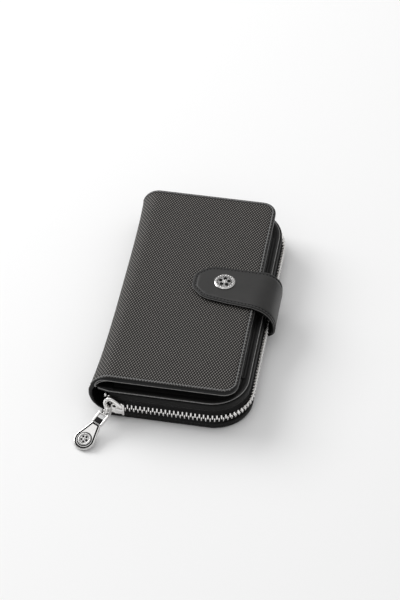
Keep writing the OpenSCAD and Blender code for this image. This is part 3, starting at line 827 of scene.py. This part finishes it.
# Along the long side the lower band stands out by the ledge, and the teeth of each row by stand_out
for suffix, body, sign, ledge, stand_out in (("upper", "zip_front", 1, 0.0, 1.5), ("lower", "back", -1, 1.7, 0.6)):
    band_name = f"{suffix}_gusset_band"
    low, high = (v.z for v in box_mm(band_name))
    band = [(-3.0, low + 0.1), (-0.4, low), (-0.1, low + 0.4), (0.05, low + 0.9), (0.05, high - 1.2),
            (-0.1, high - 0.5), (-0.4, high - 0.1), (-3.0, high)]
    band_path = [(o + out * ledge * max(out.x, 0), out, up) for o, out, up in zip_path]
    tape = tape_profile
    if sign < 0:
        tape = [(a, max(2 * ZIP_Z - b, low + 0.6)) for a, b in reversed(tape_profile)]
    fit(body, "zip_tape", sweep(f"zip_tape_{suffix}_cloth", tape, tape_path, [TAPE]), f"zip_tape_{suffix}")
    fit(body, "smooth_leather", sweep(f"{band_name}_leather", band, band_path, [INNER]), band_name)
    seam_z = low + 1.5 if sign > 0 else high - 1.2
    seam_path = [(o + out * 0.04 + UP * seam_z, UP, out) for o, out, _ in band_path]
    fit(body, "zip_tape", stitches(f"zip_stitches_{suffix}", seam_path, BLACK_THREAD, 2.6, (1.9, 0.5, 0.3)))
    teeth = []
    for i in range(int(ZIP_LEN / PITCH)):
        o, out = zip_at((i + 0.25 + (0 if sign > 0 else 0.5)) * PITCH)
        along = Vector((-out.y, out.x, 0))
        at = o + out * (0.1 + stand_out * max(out.x, 0)) + UP * (ZIP_Z + sign * 1.4)
        upright = (UP - out * sign * LEAN_IN).normalized()
        teeth.append(moved(tooth, place(at, along, upright.cross(along), upright)))
        teeth.append(moved(crest, place(at - UP * sign * 1.05 - out * 0.3, along, out, UP)))
    metal(body, f"zip_teeth_{suffix}_row", teeth, POLISHED, f"zip_teeth_{suffix}")

# Metal clips that close the ends of the upper tape
clips = [block((1.6, 1.6, 2.6), 0.5, shift(ZIP_START - 0.4 - 2.2 * k, -ZIP_Y - 0.4, ZIP_Z + 8.9 + 1.2 * k))
         for k in range(2)]
metal("zip_front", "tape_end_clips", clips, METAL)

# ---- strap
STRAP_T = 2.4
STRAP_MID = tab_high.z - STRAP_T / 2
STRAP_OUT = side_high.x - STRAP_T / 2
ROOT_R, LEAN_R, BEND_R, FAR_BEND_R = 7.5, 12.6, 18.0, 12.5
root_low, root_high = box_mm("strap_root")
ROOT_Z = root_low.z + STRAP_T / 2
LEAN_X = STRAP_OUT - LEAN_R     # centre of the gentler bend above the root
LEAN = LEAN_R * math.sqrt(0.5)
SIDE_MID = ROOT_Z + ROOT_R * (1 - math.sqrt(0.5)) + LEAN + 0.2
STRAP_Y0, STRAP_Y1 = tab_low.y, tab_high.y
root_surface, root_len = section(
    ("line", root_low.x, ROOT_Z),
    ("arc", LEAN_X + LEAN - ROOT_R * math.sqrt(0.5), ROOT_Z + ROOT_R, ROOT_R, -90, -45),
    ("arc", LEAN_X, SIDE_MID - 0.2, LEAN_R, -45, 0), ("line", STRAP_OUT, SIDE_MID))
(near_bend, tab_len), (far_bend, far_len) = (section(
    ("line", STRAP_OUT, SIDE_MID), ("line", STRAP_OUT, STRAP_MID - r),
    ("arc", STRAP_OUT - r, STRAP_MID - r, r, 0, 90), ("line", tab_low.x, STRAP_MID)) for r in (BEND_R, FAR_BEND_R))


def tab_surface(s, y, h):
    """The strap turns over the cover more sharply towards its far edge."""
    far = (y - STRAP_Y0) / (STRAP_Y1 - STRAP_Y0)
    return near_bend(s, y, h).lerp(far_bend(s * far_len / tab_len, y, h), far)


def outside(surface):
    """The strap's line runs up round the body, so its outer face is on the line's right."""
    return lambda s, y, h: surface(s, y, -h)


root_corners = [(root_len, STRAP_Y1, 0), (3, STRAP_Y1 - 2, 14), (0, STRAP_Y1 - 4, 1), (0, STRAP_Y0 + 5, 1),
                (3, STRAP_Y0 + 2, 14), (root_len - 3, STRAP_Y0 - 2.1, 4), (root_len, STRAP_Y0 - 2.2, 0)]
tab_corners = [(0, STRAP_Y0 - 2.2, 0), (24, STRAP_Y0 - 2.4, 0), (tab_len - 26, STRAP_Y0 - 0.4, 20),
               (tab_len - 9, STRAP_Y0 + 2.4, 14), (tab_len, -2.6, 8), (tab_len, 11.2, 8),
               (tab_len - 10, STRAP_Y1 - 0.2, 13), (0, STRAP_Y1, 0)]
for name, corners, surface, uv_start, fold, nodes in (
        ("strap_lower", root_corners, outside(root_surface), 0,
         ("back", "strap_side", (STRAP_OUT - ROOT_R, 0, ROOT_Z), (STRAP_OUT, 0, ROOT_Z + ROOT_R)),
         ("strap_root", "strap_side_outer", "strap_side_lining")),
        ("strap_tab", tab_corners, outside(tab_surface), root_len,
         ("strap_side", "strap_tab", (STRAP_OUT, 0, STRAP_MID - BEND_R), (STRAP_OUT - BEND_R, 0, STRAP_MID)),
         ("strap_tab_outer", "strap_tab_lining"))):
    pieces = [
        panel(f"{name}_leather", corners, STRAP_T, surface, [STRAP, PAINT, INNER], step=2.0, cut=True,
              # The stitch groove takes the near-black inner leather: painted shade in the groove.
              groove=(2.1, 0.6, 0.35, 2), uv_start=uv_start),
        # Light grey bead along the strap's edge: painted highlight.
        sweep(f"{name}_welt", ellipse(0.38, 0.32, 10),
              edge_path(corners, 0.2, surface, STRAP_T / 2 - 0.75, cut=True), [STRAP_PAINTED_HIGHLIGHT]),
        stitches(f"{name}_stitches", edge_path(corners, 2.1, surface, STRAP_T / 2 - 0.33, cut=True), STRAP_THREAD,
                 2.5, (1.8, 0.55, 0.4))]
    for piece in pieces:
        across(dress(piece, "smooth_leather", *(nodes if piece is pieces[0] else ())), *fold)

# ---- snap
def around(at, count, radius, z, turn=0.0):
    """Places in a ring about the local Z axis, the first a share of a step round."""
    return [at @ Matrix.Rotation(2 * math.pi * (k + turn) / count, 4, "Z") @ shift(radius, 0, z)
            for k in range(count)]


def beads(radius, count, bead, z, at):
    """Small domes set in a ring, as (verts, faces) pairs."""
    dome = [(bead, -0.1)] + arc(bead, bead * 0.8, (0, 30, 60, 85))
    return [lathe(dome, spot, 10) for spot in around(at, count, radius, z)]


def rosette(name, radius, height, at, body, node_name):
    """A round ornament: a beaded rim round a shallow field with five piercings and a ring of pinholes. The piercings
    and pinholes are dark discs of painted shade, and the field and rim are darkened nickel as painted dark reflections.
    """
    def sized(*profile):
        return [(radius * r, height * z) for r, z in profile]

    rim = turned_ring(sized((0.7, 0), (1, 0), (1, 0.35), (0.96, 0.62), (0.9, 0.72), (0.74, 0.7), (0.7, 0.5)), at, 64)
    lip = turned_ring(sized((0.97, 0.1), (1.01, 0.1), (1.01, 0.5), (0.95, 0.7), (0.94, 0.5)), at, 64)
    field = lathe(sized((0, 0), (0.72, 0), (0.71, 0.5), (0.3, 0.56), (0, 0.56)), at)
    raised = beads(radius * 0.83, 20, radius * 0.085, height * 0.68, at) + [lip]
    raised += beads(0, 1, radius * 0.13, height * 0.55, at) + beads(radius * 0.2, 5, radius * 0.07, height * 0.55, at)
    # Dark discs at the piercings and pinholes: painted shade in the holes.
    holes = [lathe([(0, -0.08), (radius * hole, -0.08), (radius * hole, 0.05), (0, 0.05)], spot, 12)
             for count, out, hole, turn in ((5, 0.42, 0.19, 0.25), (20, 0.66, 0.05, 0.0))
             for spot in around(at, count, radius * out, height * 0.56, turn)]
    metal(body, name, raised, METAL, node_name)
    # The field and rim take the darker nickel: painted dark reflections.
    metal(body, f"{name}_field", [field, rim], DARK_REFLECTION)
    metal(body, f"{name}_piercings", holes, PAINTED_SHADE)


cap_centre = (cap_low + cap_high) / 2
rosette("snap_rosette", (cap_high.x - cap_low.x) / 2, 1.45, shift(cap_centre.x, cap_centre.y, tab_high.z - 0.05),
        "strap_tab", "snap_cap")

# ---- slider
pin = joint_point("link_swing")
slider_mid = (slider_low.x + slider_high.x) / 2
SLIDER_OUT, SLIDER_IN = -ZIP_Y - 2.5, -ZIP_Y + 2.4
FRONT = Vector((0, -1, 0))
FACE_FRONT = Matrix.Rotation(math.pi / 2, 4, "X")


def on_slider(x, out, z):
    """Place along the zip from the slider's middle, out from its face and up from the zip."""
    return shift(slider_mid + x, SLIDER_OUT - out, ZIP_Z + z)


shield = [(-6.6, -2.2, 1.5), (-2.6, -3.0, 2), (1.6, -4.3, 1.8), (5.6, -4.2, 1.0)]
shield += [(x, -z, radius) for x, z, radius in shield[::-1]]
slider_parts = []
for name, y, facing in (("outer", SLIDER_OUT, -1), ("inner", SLIDER_IN, 1)):
    slider_parts.append(panel(
        f"slider_plate_{name}", shield, 1.2,
        lambda s, z, h, y=y, f=facing: Vector((slider_mid + s, y + f * h, ZIP_Z + z)), [POLISHED], edge=0.5,
        step=1.2, relief=lambda s, z: 0.5 * max(0, 1 - (s / 6) ** 2) * max(0, 1 - (z / 4.5) ** 2)))

wings = []
ear_profile = [(0, 0), (1.5, 0), (1.8, 0.3), (1.8, 1.1), (1.5, 1.4), (0, 1.4)]
for sign in (-1, 1):
    wings += [block((6.6, depth, 1.0), 0.35, shift(slider_high.x - 3.4, y, ZIP_Z + sign * 4.4))
              for y, depth in ((SLIDER_OUT + 0.75, 1.9), (SLIDER_IN - 0.6, 1.5))]
    wings += [lathe(ear_profile, shift(pin.x, pin.y, ZIP_Z + sign * 3 - 0.7), 24),
              block((3.3, 2.6, 1.4), 0.4, shift(pin.x, pin.y + 1.3, ZIP_Z + sign * 3))]
wings += [block((1.5, 4.4, 3.0), 0.3, shift(slider_low.x + 0.75, -ZIP_Y, ZIP_Z)),
          block((1.5, 2.0, 10.2), 0.5, shift(slider_high.x - 0.75, SLIDER_OUT - 0.1, ZIP_Z), 3)]
slider_parts.append(copies("slider_wings", wings, POLISHED))

HOOD_R, HOOD_H, EYE_R, EYE_TUBE = 3.3, 0.9, 1.7, 0.6
dome = [(0, -0.4), (HOOD_R, -0.4)] + arc(HOOD_R, HOOD_H, range(0, 90, 12)) + [(0, HOOD_H)]
hood = [lathe(dome, on_slider(x, 0, z) @ FACE_FRONT @ Matrix.Rotation(turn, 4, "Z")
              @ Matrix.Diagonal((stretch, 0.5, 1, 1)), 32)
        for x, z, turn, stretch in ((-0.2, 2.2, 0.5, 1.15), (1.4, -1.6, 0.3, 1.05))]
eye = on_slider(0.2, 0.8, 3.2) @ FACE_FRONT
hood.append(turned_ring([(EYE_R + r, z) for r, z in arc(EYE_TUBE, EYE_TUBE, range(0, 181, 20))], eye, 32))
slider_parts.append(copies("slider_hood", hood, POLISHED))

ARCH_X, ARCH_HALF, ARCH_RISE, ARCH_STEPS = 3.6, 2.6, 1.1, 16
arch = []
for k in range(ARCH_STEPS + 1):
    c, s = math.cos(math.pi * k / ARCH_STEPS), math.sin(math.pi * k / ARCH_STEPS)
    arch.append((on_slider(ARCH_X - ARCH_HALF * c, 0.2 + ARCH_RISE * s, 0.9 * c).translation,
                 Vector((-c * ARCH_RISE, -s * ARCH_HALF, 0)).normalized(), UP * (1.1 - 0.3 * s)))
slider_parts.append(sweep("slider_arch", ellipse(0.5, 1.5, 14), arch, [POLISHED]))

crown_points = ((-5.6, 2.0), (-5.9, 4.8), (-5.0, 7.6), (-2.9, 8.8), (-0.4, 7.6), (2.4, 5.0), (4.8, 2.4))
crown_line = [on_slider(x, 0.4, z).translation for x, z in smooth_line(crown_points, 4)]
crown = []
for before, o, after in zip(crown_line[:1] + crown_line, crown_line, crown_line[1:] + crown_line[-1:]):
    crown.append((o, FRONT, (after - before).normalized().cross(FRONT)))
slider_parts.append(sweep("slider_crown", ellipse(1.1, 1.5, 14), crown, [POLISHED]))
# Near-black block under the arch and disc inside the eye: painted shade in the slider's hollows.
slider_parts.append(copies("slider_hollow_shade", [
    block((3.4, 0.5, 1.6), 0.25, on_slider(3.3, 0.75, 0)),
    lathe([(0, -0.3), (EYE_R - 0.3, -0.3), (EYE_R - 0.3, 0.28), (0, 0.28)], eye, 24)], PAINTED_SHADE))
for piece in slider_parts:
    fit("slider", "plated_metal", piece, "zip_slider")

# ---- link and pull
link_end = joint_point("pull_swing")
heading = math.atan2(link_end.y - pin.y, link_end.x - pin.x)
LINK = (link_end - pin).length
PULL_T, PULL_LEN, PULL_R = 2.0, 29.0, 7.5
NECK, NECK_W = 7.4, 3.4   # where the pull's neck meets its teardrop, and half its width there
HEAD_W = 10.27            # half width at which the teardrop's sides would meet the end of the pull
droop = math.asin((ZIP_Z - PULL_T / 2 - 0.05) / PULL_LEN)
at_link = shift(*pin) @ Matrix.Rotation(heading, 4, "Z")
at_pull = shift(*link_end) @ Matrix.Rotation(heading, 4, "Z") @ Matrix.Rotation(droop, 4, "Y")

bars = [lathe([(0, -2.3), (1.35, -2.3), (1.7, -1.9), (1.5, 0), (1.7, 1.9), (1.35, 2.3), (0, 2.3)], at_link, 28)]
bars += [block(size, 0.45, at_link @ shift(*at), 3) for size, at in (
    ((3.0, 2.4, 2.2), (1.3, 0, 0)), ((1.5, 6.0, 2.2), (2.4, 0, 0)), ((2.0, 2.6, 1.7), (3.7, 0, 0.2)),
    ((LINK - 1.4, 1.0, 2.3), (LINK / 2 + 1.5, -2.5, 0)), ((LINK - 1.4, 1.0, 2.3), (LINK / 2 + 1.5, 2.5, 0)))]
metal("link", "pull_link_fork", bars, METAL, "pull_link")
shade = block((3.4, 4.4, 0.6), 0.2, at_link @ shift(LINK / 2 + 1.4, 0, -0.5))
metal("link", "pull_link_shade", [shade], PAINTED_SHADE)

tear = [(NECK, -NECK_W, 0.8), (PULL_LEN, -HEAD_W, PULL_R - 0.2), (PULL_LEN, HEAD_W, PULL_R - 0.2),
        (NECK, NECK_W, 0.8)]
# The groove round the plate takes the near-black metal: painted shade in the groove.
pull_plate = panel("pull_plate", tear, PULL_T - 0.3, lambda s, y, h: at_pull @ Vector((s, y, h)),
                   [METAL, METAL, METAL, PAINTED_SHADE], edge=0.7, step=1.5, groove=(1.35, 0.6, 0.45, 3),
                   arc_steps=16)
necks = [lathe([(0, -4.1), (0.7, -4.1), (0.9, -3.9), (0.9, 3.9), (0.7, 4.1), (0, 4.1)],
               at_pull @ Matrix.Rotation(math.pi / 2, 4, "X"), 20)]
necks += [block((8.8, 1.5, 2.0), 0.4, at_pull @ shift(3.3, sign * 3.45, 0), 3) for sign in (-1, 1)]
# Near-black block at the neck: painted shade in the recess.
recess = block((3.8, 5.8, 1.0), 0.3, at_pull @ shift(NECK - 2.2, 0, -0.1))
for piece in (pull_plate, copies("pull_neck", necks, METAL)):
    fit("pull", "plated_metal", piece, "zip_pull")
metal("pull", "pull_recess_shade", [recess], PAINTED_SHADE)

ROSETTE_R = 4.6
GROOVE_R = ROSETTE_R + 0.7
medal = at_pull @ shift(PULL_LEN - PULL_R, 0, PULL_T / 2 - 0.15)
rosette("pull_rosette", ROSETTE_R, 0.85, medal, "pull", "pull_medallion")
# Near-black ring in the groove round the medallion: painted shade.
dark_ring = turned_ring([(ROSETTE_R, -0.2), (GROOVE_R, -0.2), (GROOVE_R, 0.04), (ROSETTE_R, 0.04)], medal)
metal("pull", "pull_rosette_groove_shade", [dark_ring], PAINTED_SHADE)

# ---- inside the compartment
shell_low, shell_high = box_mm("coin_pocket_shell")
WALL, SHELL_R = 0.8, 2.5
corners = [Vector((x, z)) for x, z in ((shell_high.x, shell_low.z), (shell_low.x, shell_low.z),
                                       (shell_low.x, shell_high.z), (shell_high.x, shell_high.z))]
line = corners[:1] + fillet(*corners[:3], SHELL_R, 6) + fillet(*corners[1:], SHELL_R, 6) + corners[3:]
middle = (corners[0] + corners[2]) / 2
reach = corners[3] - middle
inside = [Vector((p.x if p.x == shell_high.x else middle.x + (p.x - middle.x) * (1 - WALL / reach.x),
                  middle.y + (p.y - middle.y) * (1 - WALL / reach.y))) for p in line]
pouch_frames = [(Vector((0, shell_low.y + (shell_high.y - shell_low.y) * k / 8, 0)), Vector((1, 0, 0)), UP)
                for k in range(9)]
pouch = sweep("coin_pouch", [tuple(p) for p in line + inside[::-1]], pouch_frames, [CLOTH])
fit("coin_pocket", "lining_cloth", pouch, "coin_pocket_shell")
end_corners = [(*corners[i], WALL if i in (0, 3) else SHELL_R) for i in (1, 0, 3, 2)]
for k, y in enumerate((shell_low.y + WALL / 2, shell_high.y - WALL / 2)):
    end_wall = panel(f"coin_pouch_end_{k}", end_corners, WALL, lambda s, z, h, y=y: Vector((s, y + h, z)), [CLOTH],
                     edge=0.3, step=3, arc_steps=4)
    fit("coin_pocket", "lining_cloth", end_wall)

gusset_low, gusset_high = box_mm("end_gusset_rear")
PLEATS, GUSSET_T = 8, 0.7
gusset_frames = [(Vector((gusset_low.x + (gusset_high.x - gusset_low.x) * k / 10, 0, 0)), Vector((0, 1, 0)), UP)
                 for k in range(11)]
for side in (-1, 1):
    zigzag = [(side * (gusset_high.y - 0.8 if k % 2 else gusset_low.y + 0.8),
               gusset_low.z + (gusset_high.z - gusset_low.z) * k / PLEATS) for k in range(PLEATS + 1)]
    profile = [(y - GUSSET_T / 2, z) for y, z in zigzag] + [(y + GUSSET_T / 2, z) for y, z in reversed(zigzag)]
    node_name = end_name("end_gusset", side)
    pleated = dress(sweep(f"{node_name}_cloth", profile, gusset_frames, [CLOTH]), "lining_cloth", node_name)
    across(pleated, "back", "zip_front", (0, 0, gusset_low.z), (0, 0, gusset_high.z))

# ---- finishes of the CAD parts that stay
for names, material in (
        (("snap_stud", "snap_washer", "snap_socket", "slider_pin", "link_pin", "zip_end_stops", "coin_zip_teeth",
          "coin_zip_slider", "coin_zip_pull"), METAL),
        (("back_lining", "mid_lining"), CLOTH), (("coin_zip_tapes",), TAPE), (("cover_board",), BOARD)):
    for name in names:
        for material_slot in frame["nodes"][name].material_slots:
            material_slot.material = material

# ---- floor, light and camera
floor_mesh = bpy.data.meshes.new("floor")
floor_mesh.from_pydata([(-6, -6, -0.0002), (6, -6, -0.0002), (6, 6, -0.0002), (-6, 6, -0.0002)], [], [[0, 1, 2, 3]])
floor_mat, floor_tree = new_material("floor_paper", 0.9, specular=0.1)
floor_tree.nodes["Principled BSDF"].inputs["Base Color"].default_value = (0.86, 0.86, 0.86, 1)
floor_mesh.materials.append(floor_mat)
in_scene("floor", floor_mesh)


def area_light(name, position, size, power):
    data = bpy.data.lights.new(name, "AREA")
    data.shape = "RECTANGLE"
    data.size, data.size_y = size
    data.energy = power
    light = in_scene(name, data)
    light.location = position
    light.rotation_euler = (-Vector(position)).to_track_quat("-Z", "Y").to_euler()


area_light("key", (-1.55, 0.75, 1.3), (1.5, 1.2), 32.5)
area_light("top", (-0.1, 0.2, 2.2), (2.0, 2.0), 8)
world = bpy.data.worlds.new("studio")
bpy.context.scene.world = world
world.use_nodes = True
tree = world.node_tree
direction = node(tree, "ShaderNodeTexCoord").outputs["Generated"]
height = node(tree, "ShaderNodeSeparateXYZ", {"Vector": direction}).outputs["Z"]
sky = ramp(tree, height, [(0.0, grey(0.5)), (0.25, grey(0.75)), (0.7, grey(1.0))])
tree.links.new(sky, tree.nodes["Background"].inputs["Color"])
tree.nodes["Background"].inputs["Strength"].default_value = 0.645
bpy.context.scene.view_settings.view_transform = "Standard"

AZIMUTH, ELEVATION, DISTANCE = math.radians(9.91), math.radians(45.6), 1.518
camera_data = bpy.data.cameras.new("camera")
camera_data.lens = 128.3
camera_data.sensor_width = 36
camera_data.shift_x, camera_data.shift_y = 0.0127, 0.0345
camera = in_scene("camera", camera_data)
towards = Vector((math.sin(AZIMUTH) * math.cos(ELEVATION), -math.cos(AZIMUTH) * math.cos(ELEVATION),
                  math.sin(ELEVATION)))
camera.location = towards * DISTANCE
camera.rotation_euler = (-towards).to_track_quat("-Z", "Y").to_euler()
bpy.context.scene.camera = camera
